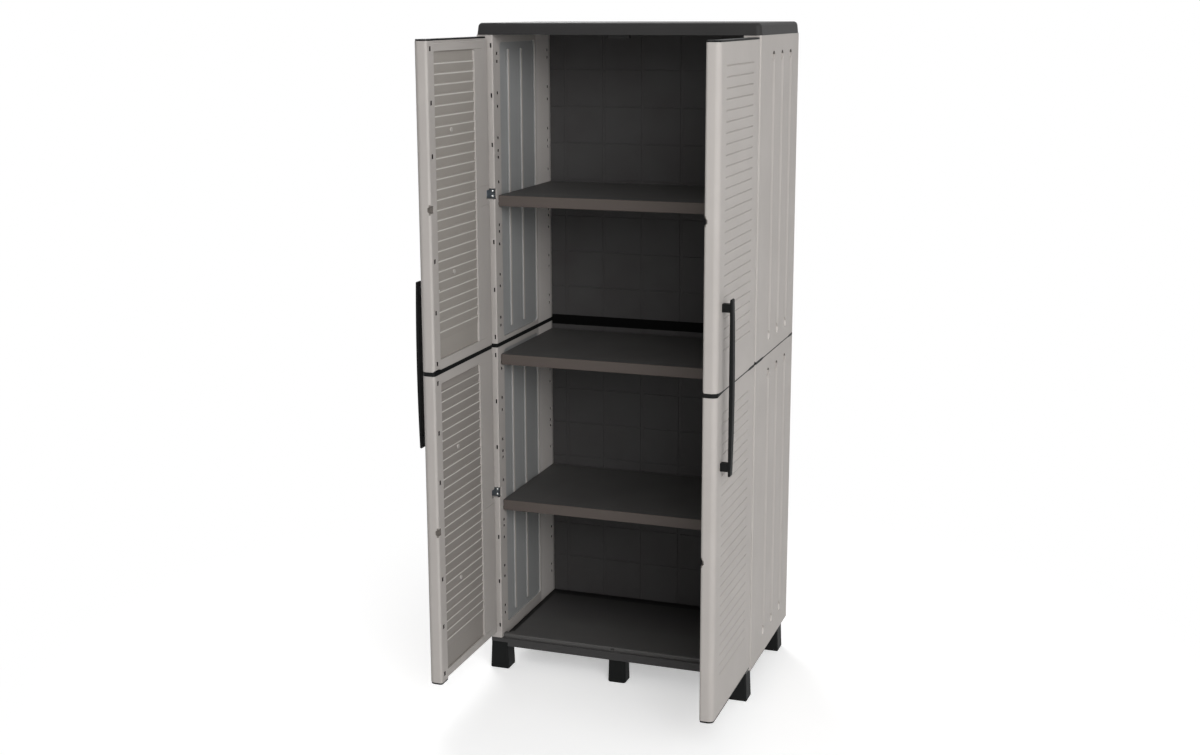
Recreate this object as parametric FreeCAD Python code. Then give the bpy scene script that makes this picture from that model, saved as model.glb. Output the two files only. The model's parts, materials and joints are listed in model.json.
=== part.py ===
import FreeCAD, Part
import math
import os

V = FreeCAD.Vector

# Two-storey resin storage cabinet with a pair of hinged doors, drawn with both doors open square to the
# front.
# Millimetres. +X is to the right of a person facing the front, +Y goes from the front to the back, +Z is up.
# The carcass is laid out about its own middle, and every piece is moved at export so that the origin lies on
# the floor, in the middle of the room that the cabinet takes with its doors open.

# Driving dimensions of the carcass
WIDTH = 700.0
DEPTH = 392.0
TRAY_BOTTOM = 63.0
TRAY_INSET = 11.0
TRAY_REAR_INSET = 6.0
RIM_TOP = 84.0
FLOOR_TOP = 92.5
FRONT_LIP = 11.0
GUTTER_SIDE = 14.0
GUTTER_REAR = 42.0
FLOOR_WALL = 4.0
SEAM = 854.0
LID_BOTTOM = 1612.0
LID_TOP = 1640.0
JOINER_HEIGHT = 10.0
JOINER_LINE = 3.0
JOINER_LINE_END = 6.5
JOINER_LINE_CORNER = 8.0
JOINER_HINGE_REACH = 55.0
JOINER_REAR_REACH = 32.0
JOINER_STEP = 25.0
JOINER_CORNER_TAPER = 50.0
LOWER_MIDDLE = 474.5
UPPER_MIDDLE = 1231.5
LOUVRE_RISE = {LOWER_MIDDLE: 25.0, UPPER_MIDDLE: 18.5}

# Driving dimensions of the side panels
STRIP_THICKNESS = 42.0
FIELD_THICKNESS = 37.5
WALL = 3.0
FIELD_FRONT = -153.0
FIELD_REAR = 80.0
FIELD_HALF_HEIGHT = 362.0
FIELD_CORNER = 10.0
RIB_PLACES = (-92.0, -8.0)
RIB_WIDTH = 8.0
RIB_HEIGHT = 3.5
FLUTE_PLACES = (-70.0, 18.0, 106.0)
FLUTE_WIDTH = 24.0
FLUTE_DEPTH = 3.0
FLUTE_END_DEPTH = 4.5
FLUTE_HALF_HEIGHT = 344.0
LIP = 2.5
OUTER_EDGE_RADIUS = 4.0
INNER_EDGE_RADIUS = 3.0
PANEL_END_WALL = 4.0
FRONT_WALL = 8.0
STRIP_WALL = 8.0
REAR_STRIP_WALL = 6.0
FIELD_END_WALL = 6.0
REAR_SOLID = 20.0
PLUG_REACH = 18.0
PLUG_SLACK = 0.5
HINGE_SEAT_SKIN = 6.0
HINGE_BLOCK = 42.0

# Driving dimensions of the back panels
BACK_THICKNESS = 11.0
BACK_SKIN = 4.5
BACK_FRAME = 26.0
BACK_CORNER = 12.0
POST_HALF_WIDTH = 6.0
POST_SETBACK = 2.0
LIP_FROM_SIDE = 30.0
LIP_REACH = 10.0
LIP_SPAN = (6.0, 9.0)
BACK_BAND = 26.0
BACK_TONGUE = 8.0
CHANNEL_PLACES = (52.8, 158.4, 264.0)
CHANNEL_WIDTH = 8.0
TILE_PITCH = 95.5
TILE_LINE_WIDTH = 3.0
TILE_DEPTH = 1.2

# Shelves and the slots that carry their clips; slot places are heights above the middle of a panel
SHELF_TOPS = {"shelf_bottom": 450.0, "shelf_middle": 829.0, "shelf_top": 1226.0}
SHELF_THICKNESS = 27.0
SHELF_HALF_WIDTH = 306.5
SHELF_FRONT = -176.0
SHELF_REAR = 180.0
SLOT_PLACES = (
    336.0, 317.0, 242.0, 210.0, 134.0, 103.0, 87.0, 27.0,
    -79.0, -95.0, -126.0, -202.0, -231.0, -310.0, -330.0,
)
SLOT_WIDTH = 9.0
SLOT_HEIGHT = 7.0
SLOT_DEPTH = 10.0
SLOT_FRONT_ROW = -170.0
SLOT_REAR_ROW = 167.0
SHELF_SKIN = 3.5
SHELF_RIM = 4.0
SHELF_EDGE_RADIUS = 2.5
SHELF_RIB_PITCH = 75.0
SHELF_PAD = 18.0
CLIP_ROWS = (-164.0, 163.0)
CLIP_WIDTH = 14.0
CLIP_HEIGHT = 12.0
CLIP_REACH = 11.0
CLIP_TONGUE = 5.5
CLIP_SLACK = 0.3

# Lid and the underside of the tray
LID_LEAN = 3.0
LID_OVERHANG = 2.0
LID_CORNER = 12.0
LID_EDGE_RADIUS = 10.0
LID_WALL = 4.0
LID_FRONT_SOLID = 42.0
LID_REAR_SOLID = 16.0
RIB_WALL = 3.0
RIB_CLEAR = 6.0
LID_RIBS_X = (-200.0, -100.0, 0.0, 100.0, 200.0)
TRAY_RIBS_X = (-240.0, -160.0, -80.0, 80.0, 160.0, 240.0)
CROSS_RIBS_Y = (-60.0, 60.0)
TRAY_CORNER = 6.0
TRAY_FRONT_SOLID = 24.0
FLOOR_EDGE_RADIUS = 2.5
FOOT_PAD = (30.0, 28.0)
LATCH_SLOT_X = (-15.0, -7.0)
LATCH_SLOT_DEPTH = 6.0
CATCH_HALF = 28.0
CATCH_SPAN = (-172.0, -158.0)
CATCH_HEIGHT = 8.0
CATCH_CORNER = 3.0

# Driving dimensions of the doors
DOOR_THICKNESS = 33.0
DOOR_TOP = 1608.0
DOOR_BOTTOM = 96.0
CAP_HEIGHT = 4.0
DOOR_GAP = 1.0
MIDDLE_GAP = 3.0
DOOR_SKIN = 3.5
DOOR_INNER_WALL = 10.0
RECESS_DEPTH = 5.5
RECESS_CORNER = 5.0
HINGE_STILE = 86.0
FREE_STILE = 35.5
RAIL = 23.0
END_STEP_HEIGHT = 4.0
END_STEP_DEPTH = 8.0
FREE_OUTER_RADIUS = 13.0
FREE_INNER_RADIUS = 6.0
SEAM_CORNER_RADIUS = 6.0
HINGE_HOLLOW = (34.0, 82.0)
MIDDLE_HOLLOW = (90.0, 300.0)
FREE_HOLLOW = (322.0, 343.0)
HOLLOW_CORNER = 3.0
PLUG_INSET = 0.3
JOINER_PLUG = 14.0
CAP_PLUG = 12.0
CAP_INSET = 0.6
STILE_SLOPE_START = 30.0
STILE_SLOPE_DEPTH = 1.2
GROOVE_COUNT = 27
GROOVE_PITCH = 23.43
GROOVE_START = 64.0
GROOVE_END = 298.0
GROOVE_WIDTH = 3.6
GROOVE_DEPTH = 2.0
GROOVE_SLOPE = 1.2
SLAT_PROUD = 3.0
SLAT_NOSE = 2.5
BOSS_FROM_HINGE = 220.0
BOSS_STEPS = 7
BOSS_RADIUS = 5.5
BOSS_HEIGHT = 4.0
KEY_SLOT_PITCH = 118.5
KEY_SLOT_HEIGHT = 10.5
KEY_SLOT_WIDTH = 4.0
KEY_SLOT_IN = 5.0
DOOR_SLOT_WIDTH = 9.0
DOOR_SLOT_FROM_EDGE = 18.0
DOOR_SLOT_DEPTH = 12.0
BITE_LENGTH = 17.0
BITE_DEPTH = 7.5
BITE_HALF_HEIGHTS = (9.5, 4.5)

# Hinges
PIN_RADIUS = 3.0
PIN_PLAY = 0.05
KNUCKLE_RADIUS = 7.0
KNUCKLE_CLEARANCE = 1.5
KNUCKLE_HALF_HEIGHT = 9.0
POCKET_HALF_HEIGHT = 11.0
POCKET_SKIN = 4.0
PIN_BITE = 12.0
REBATE_DEPTH = 1.5
REBATE_HALF_HEIGHT = 24.0
REBATE_REACH = 80.0
SEAT_HALF_HEIGHT = 13.0
SEAT_DEPTH = 10.0
PLATE_THICKNESS = 3.0
PLATE_HALF_HEIGHT = 12.0
PLATE_INSET = (10.0, 4.0)
HALF_ARM = 1.5
HINGE_SCREW_IN = 10.0
HINGE_SCREW_SPREAD = 6.5
HINGE_SCREW = (2.8, 2.0, 1.6, 16.0)
HANDLE_SCREW = (4.0, 2.2, 2.0, 44.0)

# Handles
HANDLE_MIDDLE = 864.5
HANDLE_HALF_LENGTH = 197.5
POST_REACH = 177.5
HANDLE_FROM_EDGE = 41.0
HANDLE_WIDTH = 20.0
HANDLE_GAP = 18.0
HANDLE_BAR = 9.0
HANDLE_TIP = 3.0
HANDLE_EDGE_RADIUS = 2.0
POST_HALF_Y = 8.0
POST_HALF_Z = 9.0

# Feet: half sizes in X and Y at the top and at the sole, then the radius of the upright edges
FOOT_PLACES = {
    "foot_front_left": (-316.0, -172.0),
    "foot_front_middle": (0.0, -166.0),
    "foot_front_right": (316.0, -172.0),
    "foot_rear_left": (-316.0, 166.0),
    "foot_rear_middle": (0.0, 160.0),
    "foot_rear_right": (316.0, 166.0),
}
CORNER_FOOT_TOP = 73.0
CORNER_FOOT = ((22.0, 22.3), (25.0, 23.5), 3.0)
MIDDLE_FOOT = ((22.0, 21.0), (23.5, 22.0), 8.0)
SOLE_FILLET = 2.5
SPIGOT_HALF = 13.0
SPIGOT_HEIGHT = 8.0
FOOT_SLACK = 0.8

# Worked out from the dimensions above
HALF_W = WIDTH / 2
HALF_D = DEPTH / 2
HALF_T = DOOR_THICKNESS / 2
INNER_X = HALF_W - STRIP_THICKNESS
PIVOT_X = HALF_W - HALF_T
PIVOT_Y = -HALF_D - DOOR_GAP - HALF_T
LEAF = PIVOT_X - MIDDLE_GAP / 2
LEAF_LENGTH = LEAF + HALF_T
DOOR_INNER = -HALF_W + DOOR_THICKNESS
RECESS_FLOOR = DOOR_INNER - RECESS_DEPTH
SEAM_LOW = SEAM - JOINER_HEIGHT / 2
SEAM_HIGH = SEAM + JOINER_HEIGHT / 2
REST_FRONT = PIVOT_Y - LEAF
SHIFT_Y = -(REST_FRONT + HALF_D) / 2
BACK_FACE = HALF_D - BACK_THICKNESS
TONGUE_FRONT = BACK_FACE + 1.0
TONGUE_REAR = BACK_FACE + 6.0
PLATE_FACE = -HALF_D + SEAT_DEPTH - PLATE_THICKNESS
PLATE_BACK = -HALF_D + SEAT_DEPTH
HANDLE_Y = PIVOT_Y + HALF_T - (LEAF_LENGTH - HANDLE_FROM_EDGE)
PAST = 1.0
SAME = 0.01


# Small helpers

def box(x0, x1, y0, y1, z0, z1):
    """A block between two corners."""
    return Part.makeBox(x1 - x0, y1 - y0, z1 - z0, V(x0, y0, z0))


def rod(x, y, z0, z1, radius):
    """An upright round bar."""
    return Part.makeCylinder(radius, z1 - z0, V(x, y, z0), V(0, 0, 1))


def rounded_rectangle(x0, x1, y0, y1, radius, z):
    """A level rectangle with round corners, as a wire."""
    c = radius * (1 - math.sqrt(0.5))
    corners = [
        ((x1 - radius, y0), (x1 - c, y0 + c), (x1, y0 + radius)),
        ((x1, y1 - radius), (x1 - c, y1 - c), (x1 - radius, y1)),
        ((x0 + radius, y1), (x0 + c, y1 - c), (x0, y1 - radius)),
        ((x0, y0 + radius), (x0 + c, y0 + c), (x0 + radius, y0)),
    ]
    edges = []
    for i, corner in enumerate(corners):
        a, b, e = [V(p[0], p[1], z) for p in corner]
        nxt = corners[(i + 1) % 4][0]
        edges.append(Part.Arc(a, b, e).toShape())
        edges.append(Part.LineSegment(e, V(nxt[0], nxt[1], z)).toShape())
    return Part.Wire(edges)


def rounded_block(x0, x1, y0, y1, z0, z1, radius):
    """A block with round upright edges."""
    return Part.Face(rounded_rectangle(x0, x1, y0, y1, radius, z0)).extrude(V(0, 0, z1 - z0))


def edge_rounder(x, y, toward_x, toward_y, radius, z0, z1):
    """What to cut away to round an upright edge at (x, y), whose piece lies towards the given signs."""
    cx = x + toward_x * radius
    cy = y + toward_y * radius
    x0, x1 = sorted((x - toward_x, cx))
    y0, y1 = sorted((y - toward_y, cy))
    waste = box(x0, x1, y0, y1, z0, z1)
    return waste.cut(rod(cx, cy, z0 - PAST, z1 + PAST, radius))


def screw(start, direction, head_radius, head_length, shank_radius, length):
    """A screw with a flat round head; start is the middle of the head's outer face."""
    head = Part.makeCylinder(head_radius, head_length, start, direction)
    shank = Part.makeCylinder(shank_radius, length, start, direction)
    return joined([head, shank])


def polygon_prism(points, direction):
    """A flat outline pushed along a direction."""
    closed = points + [points[0]]
    return Part.Face(Part.makePolygon(closed)).extrude(direction)


def joined(shapes):
    """One solid out of touching shapes, with the seams between coplanar faces removed."""
    whole = shapes[0].fuse(shapes[1:])
    return whole.removeSplitter()


def mirrored(shape):
    """The same piece for the other side of the cabinet."""
    return shape.mirror(V(0, 0, 0), V(1, 0, 0))


def seen_from_the_side(x):
    """Where an outline drawn in (Y, Z) and pushed along X starts."""
    return FreeCAD.Placement(V(x, 0, 0), FreeCAD.Rotation(V(1, 1, 1), 120))


def seen_from_the_front(y):
    """Where an outline drawn in (X, Z) and pushed towards the front starts."""
    return FreeCAD.Placement(V(0, y, 0), FreeCAD.Rotation(V(1, 0, 0), 90))


def joiner_line(x, outline):
    """The thin line that a joiner shows in the outer skin, from a list of (Y, height of the line)."""
    upper = [V(x, y, SEAM + height / 2) for y, height in outline]
    lower = [V(x, y, SEAM - height / 2) for y, height in reversed(outline)]
    return polygon_prism(upper + lower, V(LIP, 0, 0))


def edges_at_height(shape, z):
    """The edges of a shape that lie level at one height."""
    return [e for e in shape.Edges if all(abs(v.Z - z) < SAME for v in e.Vertexes)]


# Side panels: double-walled, fluted outside, with a recessed field and two slotted strips inside

def flute(y, middle, grow):
    """A shallow round-bottomed groove that ends in two deeper round dimples; grow adds the wall behind it."""
    half = FLUTE_WIDTH / 2
    radius = (half * half + FLUTE_DEPTH * FLUTE_DEPTH) / (2 * FLUTE_DEPTH)
    axis_x = -HALF_W + FLUTE_DEPTH - radius
    reach = FLUTE_HALF_HEIGHT - half
    body = rod(axis_x, y, middle - reach, middle + reach, radius + grow)
    start = -HALF_W - PAST
    depth = FLUTE_END_DEPTH + grow + PAST
    ends = [
        Part.makeCylinder(half + grow, depth, V(start, y, middle + side * reach), V(1, 0, 0))
        for side in (-1, 1)
    ]
    return body.fuse(ends)


def clip_height(top):
    """Middle height of the tongues that carry a shelf, which lie within the shelf's own thickness."""
    return top - SHELF_THICKNESS + CLIP_HEIGHT / 2


def shelf_slot_heights(middle, z0, z1):
    """Heights of the clip slots in one panel: its spare ones, and one for each shelf that hangs on it."""
    in_use = [clip_height(top) for top in SHELF_TOPS.values()]
    in_use = [z for z in in_use if z0 < z < z1]
    spare = [middle + place for place in SLOT_PLACES]
    return in_use + [z for z in spare if all(abs(z - used) > 2 * SLOT_HEIGHT for used in in_use)]


def side_hollows(middle, low, high):
    """The blown hollows of a side panel: behind the field, in the rear strip and in the front strip."""
    outer = -HALF_W
    inner = -INNER_X
    field = outer + FIELD_THICKNESS
    grown = [flute(y, middle, WALL) for y in FLUTE_PLACES]
    field_start = FIELD_FRONT + FIELD_END_WALL
    field_end = FIELD_REAR - FIELD_END_WALL
    behind_field = box(outer + WALL, field - WALL, field_start, field_end, low, high)
    rear_start = FIELD_REAR + FIELD_END_WALL
    rear_strip = box(outer + WALL, inner - REAR_STRIP_WALL, rear_start, HALF_D - REAR_SOLID, low, high)
    front = -HALF_D + FRONT_WALL
    front_end = FIELD_FRONT - WALL / 2
    front_low = box(outer + WALL, inner - STRIP_WALL, front, front_end, low, middle - HINGE_BLOCK)
    front_high = box(outer + WALL, inner - STRIP_WALL, front, front_end, middle + HINGE_BLOCK, high)
    return [behind_field.cut(grown[:2]), rear_strip.cut(grown[2:]), front_low, front_high]


def side_slots(middle, z0, z1):
    """The shelf slots in both strips and the narrow slots in the panel's front edge."""
    inner = -INNER_X
    half_w = SLOT_WIDTH / 2
    half_h = SLOT_HEIGHT / 2
    slots = []
    for z in shelf_slot_heights(middle, z0, z1):
        for row in (SLOT_FRONT_ROW, SLOT_REAR_ROW):
            x = inner - SLOT_DEPTH
            slots.append(box(x, inner + PAST, row - half_w, row + half_w, z - half_h, z + half_h))
    x = inner - KEY_SLOT_IN
    half_w = KEY_SLOT_WIDTH / 2
    half_h = KEY_SLOT_HEIGHT / 2
    for step in (-3, -2, -1, 1, 2, 3):
        z = middle + step * KEY_SLOT_PITCH
        y = -HALF_D + FRONT_WALL + PAST
        slots.append(box(x - half_w, x + half_w, -HALF_D - PAST, y, z - half_h, z + half_h))
    return slots


def side_joiner_line():
    """The joiner's line in a side panel: it is wider near the hinge edge and the rear edge."""
    front = -HALF_D + JOINER_HINGE_REACH
    rear = HALF_D - JOINER_REAR_REACH
    return joiner_line(-HALF_W, [
        (-HALF_D, JOINER_LINE_END),
        (front, JOINER_LINE_END),
        (front + JOINER_STEP, JOINER_LINE),
        (rear - JOINER_STEP, JOINER_LINE),
        (rear, JOINER_LINE_END),
        (HALF_D, JOINER_LINE_END),
    ])


def side_panel(z0, z1, middle, is_upper):
    """The left panel of one storey, from its outer face at -WIDTH/2 to its inner strips."""
    outer = -HALF_W
    inner = -INNER_X
    field = outer + FIELD_THICKNESS
    body = box(outer, inner, -HALF_D, HALF_D, z0, z1)
    lip_low = SEAM if is_upper else SEAM_LOW
    lip_high = SEAM_HIGH if is_upper else SEAM
    lip = box(outer, outer + LIP, -HALF_D, HALF_D, lip_low, lip_high).cut([side_joiner_line()])
    low = min(z0, lip_low) - PAST
    high = max(z1, lip_high) + PAST
    rounders = [
        edge_rounder(outer, -HALF_D, 1, 1, OUTER_EDGE_RADIUS, low, high),
        edge_rounder(outer, HALF_D, 1, -1, OUTER_EDGE_RADIUS, low, high),
        edge_rounder(inner, -HALF_D, -1, 1, INNER_EDGE_RADIUS, low, high),
    ]

    pocket_wire = rounded_rectangle(
        FIELD_FRONT, FIELD_REAR, middle - FIELD_HALF_HEIGHT, middle + FIELD_HALF_HEIGHT, FIELD_CORNER, 0
    )
    pocket = Part.Face(pocket_wire).extrude(V(0, 0, STRIP_THICKNESS - FIELD_THICKNESS + PAST))
    pocket.Placement = seen_from_the_side(field)

    half_rib = RIB_WIDTH / 2
    rib_low = middle - FLUTE_HALF_HEIGHT
    rib_high = middle + FLUTE_HALF_HEIGHT
    ribs = [
        box(field - PAST, field + RIB_HEIGHT, y - half_rib, y + half_rib, rib_low, rib_high)
        for y in RIB_PLACES
    ]

    hollow_low = z0 - PAST if is_upper else z0 + PANEL_END_WALL
    hollow_high = z1 - PANEL_END_WALL if is_upper else z1 + PAST
    seat_low = middle - SEAT_HALF_HEIGHT
    seat_high = middle + SEAT_HALF_HEIGHT
    seat_x = outer + HINGE_SEAT_SKIN
    hinge_seat = box(seat_x, inner + PAST, -HALF_D - PAST, -HALF_D + SEAT_DEPTH, seat_low, seat_high)
    back_groove = box(inner - BACK_TONGUE, inner + PAST, TONGUE_FRONT, TONGUE_REAR, z0 - PAST, z1 + PAST)

    panel = body.cut([pocket]).fuse([lip] + ribs)
    panel = panel.cut(side_hollows(middle, hollow_low, hollow_high) + side_slots(middle, z0, z1))
    panel = panel.cut([flute(y, middle, 0) for y in FLUTE_PLACES] + rounders)
    panel = panel.cut([back_groove, hinge_seat] + hinge_screws(middle))
    return panel.removeSplitter()


def side_joiner():
    """The black strip between the two storeys of a side panel, with a tongue into the hollow of each."""
    outer = -HALF_W
    web = box(outer + LIP, -INNER_X, -HALF_D, HALF_D, SEAM_LOW, SEAM_HIGH)
    rounders = [
        edge_rounder(outer, -HALF_D, 1, 1, OUTER_EDGE_RADIUS, SEAM_LOW - PAST, SEAM_HIGH + PAST),
        edge_rounder(outer, HALF_D, 1, -1, OUTER_EDGE_RADIUS, SEAM_LOW - PAST, SEAM_HIGH + PAST),
        edge_rounder(-INNER_X, -HALF_D, -1, 1, INNER_EDGE_RADIUS, SEAM_LOW - PAST, SEAM_HIGH + PAST),
    ]
    tongue = box(
        outer + WALL + PLUG_SLACK,
        outer + FIELD_THICKNESS - WALL - PLUG_SLACK,
        FIELD_FRONT + FIELD_END_WALL + PLUG_SLACK,
        FIELD_REAR - FIELD_END_WALL - PLUG_SLACK,
        SEAM_LOW - PLUG_REACH,
        SEAM_HIGH + PLUG_REACH,
    )
    return joined([web.fuse([side_joiner_line()]).cut(rounders), tongue])


# Back panels: one skin with a raised frame and posts behind it, squared into tiles on the inside

def back_panel(z0, z1, middle):
    """A back panel whose tongues slide into the grooves of the side panels."""
    skin_rear = BACK_FACE + BACK_SKIN
    body = box(-INNER_X, INNER_X, BACK_FACE, HALF_D, z0, z1)
    hollow = rounded_block(
        -INNER_X + BACK_FRAME, INNER_X - BACK_FRAME, z0 + BACK_FRAME, z1 - BACK_FRAME,
        0, HALF_D - skin_rear + PAST, BACK_CORNER
    )
    hollow.Placement = seen_from_the_front(HALF_D + PAST)
    post_rear = HALF_D - POST_SETBACK
    low = z0 + BACK_FRAME / 2
    high = z1 - BACK_FRAME / 2
    posts = [
        box(x - POST_HALF_WIDTH, x + POST_HALF_WIDTH, skin_rear - PAST, post_rear, low, high)
        for x in (-INNER_X / 2, 0.0, INNER_X / 2)
    ]
    tongues = []
    for side in (-1, 1):
        edge = side * INNER_X
        tip = side * (INNER_X + BACK_TONGUE)
        tongues.append(box(min(edge, tip), max(edge, tip), TONGUE_FRONT, TONGUE_REAR, z0, z1))

    cuts = []
    face = BACK_FACE - PAST
    line_floor = BACK_FACE + TILE_DEPTH
    half = CHANNEL_WIDTH / 2
    for place in CHANNEL_PLACES:
        for x in (-place, place):
            cuts.append(box(x - half, x + half, face, line_floor, z0 - PAST, z1 + PAST))
    half = TILE_LINE_WIDTH / 2
    for step in range(-3, 4):
        z = middle + step * TILE_PITCH
        cuts.append(box(-INNER_X, INNER_X, face, line_floor, z - half, z + half))
    panel = body.cut([hollow]).fuse(posts + tongues).cut(cuts)
    return panel.removeSplitter()


def back_joiner():
    """The broad black band between the two back panels, and the lips that reach into both of them."""
    low = SEAM - BACK_BAND / 2
    high = SEAM + BACK_BAND / 2
    web = box(-INNER_X, INNER_X, BACK_FACE, HALF_D, low, high)
    x = INNER_X - LIP_FROM_SIDE
    front, rear = [BACK_FACE + y for y in LIP_SPAN]
    lips = box(-x, x, front, rear, low - LIP_REACH, high + LIP_REACH)
    return web, lips


# Lid, base tray and feet

def lid():
    """A shallow lid with leaning sides, round top edges and a ribbed hollow underneath."""
    front = -HALF_D - LID_OVERHANG
    low = rounded_rectangle(-HALF_W, HALF_W, front, HALF_D, LID_CORNER, LID_BOTTOM)
    x = HALF_W - LID_LEAN
    high = rounded_rectangle(-x, x, front + LID_LEAN, HALF_D - LID_LEAN / 3, LID_CORNER, LID_TOP)
    shell = Part.makeLoft([low, high], True)
    shell = shell.makeFillet(LID_EDGE_RADIUS, edges_at_height(shell, LID_TOP))
    x = INNER_X - LID_WALL
    roof = LID_TOP - LID_WALL
    hollow = box(-x, x, -HALF_D + LID_FRONT_SOLID, HALF_D - LID_REAR_SOLID, LID_BOTTOM - PAST, roof)
    return shell.cut([hollow.cut(ribs(LID_RIBS_X, LID_BOTTOM + RIB_CLEAR, LID_TOP))])


def ribs(places_x, z0, z1):
    """Thin upright ribs at the given X places, and two across them."""
    half = RIB_WALL / 2
    lengthwise = [box(x - half, x + half, -HALF_D, HALF_D, z0, z1) for x in places_x]
    return lengthwise + [box(-HALF_W, HALF_W, y - half, y + half, z0, z1) for y in CROSS_RIBS_Y]


def foot(x, y, top, shape):
    """A foot that widens a little towards the floor, with a spigot that plugs into the base tray."""
    (top_x, top_y), (sole_x, sole_y), radius = shape
    high = rounded_rectangle(x - top_x, x + top_x, y - top_y, y + top_y, radius, top)
    low = rounded_rectangle(x - sole_x, x + sole_x, y - sole_y, y + sole_y, radius, 0)
    body = Part.makeLoft([low, high], True)
    body = body.makeFillet(SOLE_FILLET, edges_at_height(body, 0))
    return joined([body, spigot(x, y, top - PAST, top + SPIGOT_HEIGHT)])


def spigot(x, y, z0, z1):
    """The square plug on top of a foot, and the socket for it."""
    return box(x - SPIGOT_HALF, x + SPIGOT_HALF, y - SPIGOT_HALF, y + SPIGOT_HALF, z0, z1)


def foot_top(name):
    """Corner feet rise into notches in the tray's corners; middle feet stop at its underside."""
    return TRAY_BOTTOM if name.endswith("middle") else CORNER_FOOT_TOP


def foot_room(name, x, y):
    """What a foot takes out of the tray: its spigot, and at a corner the notch for its head."""
    top = foot_top(name)
    room = [spigot(x, y, TRAY_BOTTOM - PAST, top + SPIGOT_HEIGHT)]
    if top > TRAY_BOTTOM:
        side = 1 if x > 0 else -1
        rear = 1 if y > 0 else -1
        half_x, half_y = CORNER_FOOT[0]
        x_in = x - side * (half_x + FOOT_SLACK)
        y_in = y - rear * (half_y + FOOT_SLACK)
        x_out = side * HALF_W
        y_out = rear * (HALF_D + PAST)
        x0, x1 = sorted((x_in, x_out))
        y0, y1 = sorted((y_in, y_out))
        room.append(box(x0, x1, y0, y1, TRAY_BOTTOM - PAST, top))
    return room


def base_tray():
    """The base: a rim that the walls stand on, a floor raised inside a gutter, and foot sockets below."""
    rim_x = HALF_W - TRAY_INSET
    rear = HALF_D - TRAY_REAR_INSET
    rim = rounded_block(-rim_x, rim_x, -HALF_D, rear, TRAY_BOTTOM, RIM_TOP, TRAY_CORNER)
    floor_front = -HALF_D + FRONT_LIP
    floor_x = INNER_X - GUTTER_SIDE
    floor_rear = BACK_FACE - GUTTER_REAR
    plateau = box(-floor_x, floor_x, floor_front, floor_rear, RIM_TOP - PAST, FLOOR_TOP)
    sill = box(-INNER_X, INNER_X, floor_front, floor_front + GUTTER_SIDE, RIM_TOP - PAST, FLOOR_TOP)
    plateau = plateau.fuse([sill]).removeSplitter()
    top_edges = edges_at_height(plateau, FLOOR_TOP)
    front_edge = [e for e in top_edges if all(abs(v.Y - floor_front) < SAME for v in e.Vertexes)]
    plateau = plateau.makeFillet(FLOOR_EDGE_RADIUS, front_edge)

    below = TRAY_BOTTOM - PAST
    x = floor_x - FLOOR_WALL
    front = -HALF_D + TRAY_FRONT_SOLID
    hollow = box(-x, x, front, floor_rear - FLOOR_WALL, below, FLOOR_TOP - FLOOR_WALL)
    pad_x, pad_y = FOOT_PAD
    pads = [
        box(x - pad_x, x + pad_x, y - pad_y, y + pad_y, below, FLOOR_TOP)
        for x, y in FOOT_PLACES.values()
    ]
    x0, x1 = LATCH_SLOT_X
    slot_top = FLOOR_TOP - FLOOR_EDGE_RADIUS
    latch_slot = box(x0, x1, floor_front - PAST, floor_front + LATCH_SLOT_DEPTH, RIM_TOP + PAST, slot_top)

    room = []
    for name, (x, y) in FOOT_PLACES.items():
        room += foot_room(name, x, y)
    tray = rim.fuse([plateau])
    kept = ribs(TRAY_RIBS_X, below, FLOOR_TOP) + pads
    return tray.cut([hollow.cut(kept), latch_slot] + room).removeSplitter()


def lid_catch():
    """The keeper under the lid's front edge that both doors close against."""
    front, rear = CATCH_SPAN
    low = LID_BOTTOM - CATCH_HEIGHT
    return rounded_block(-CATCH_HALF, CATCH_HALF, front, rear, low, LID_BOTTOM, CATCH_CORNER)


# Shelves

def shelf(top):
    """A shelf: a thin top with a deep rim and ribs underneath."""
    bottom = top - SHELF_THICKNESS
    half = SHELF_HALF_WIDTH
    body = box(-half, half, SHELF_FRONT, SHELF_REAR, bottom, top)
    front_edges = [
        e for e in edges_at_height(body, bottom) + edges_at_height(body, top)
        if all(abs(v.Y - SHELF_FRONT) < SAME for v in e.Vertexes)
    ]
    body = body.makeFillet(SHELF_EDGE_RADIUS, front_edges)
    x = half - SHELF_RIM
    hollow = box(-x, x, SHELF_FRONT + SHELF_RIM, SHELF_REAR - SHELF_RIM, bottom - PAST, top - SHELF_SKIN)
    kept = ribs([i * SHELF_RIB_PITCH for i in range(-3, 4)], bottom + SHELF_RIM, top)
    pad = SHELF_PAD
    pockets = []
    for row in CLIP_ROWS:
        for x in (-half, half):
            kept.append(box(x - pad, x + pad, row - pad, row + pad, bottom - PAST, top))
        pocket = clip_block(row, bottom - PAST, bottom + CLIP_HEIGHT, CLIP_SLACK)
        pockets += [pocket, mirrored(pocket)]
    return body.cut([hollow.cut(kept)] + pockets)


def clip_block(row, z0, z1, slack):
    """The part of a clip that a shelf rests on; with some slack, the pocket for it in the shelf's end."""
    half = CLIP_WIDTH / 2 + slack
    return box(-INNER_X, -INNER_X + CLIP_REACH + slack, row - half, row + half, z0, z1)


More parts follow.
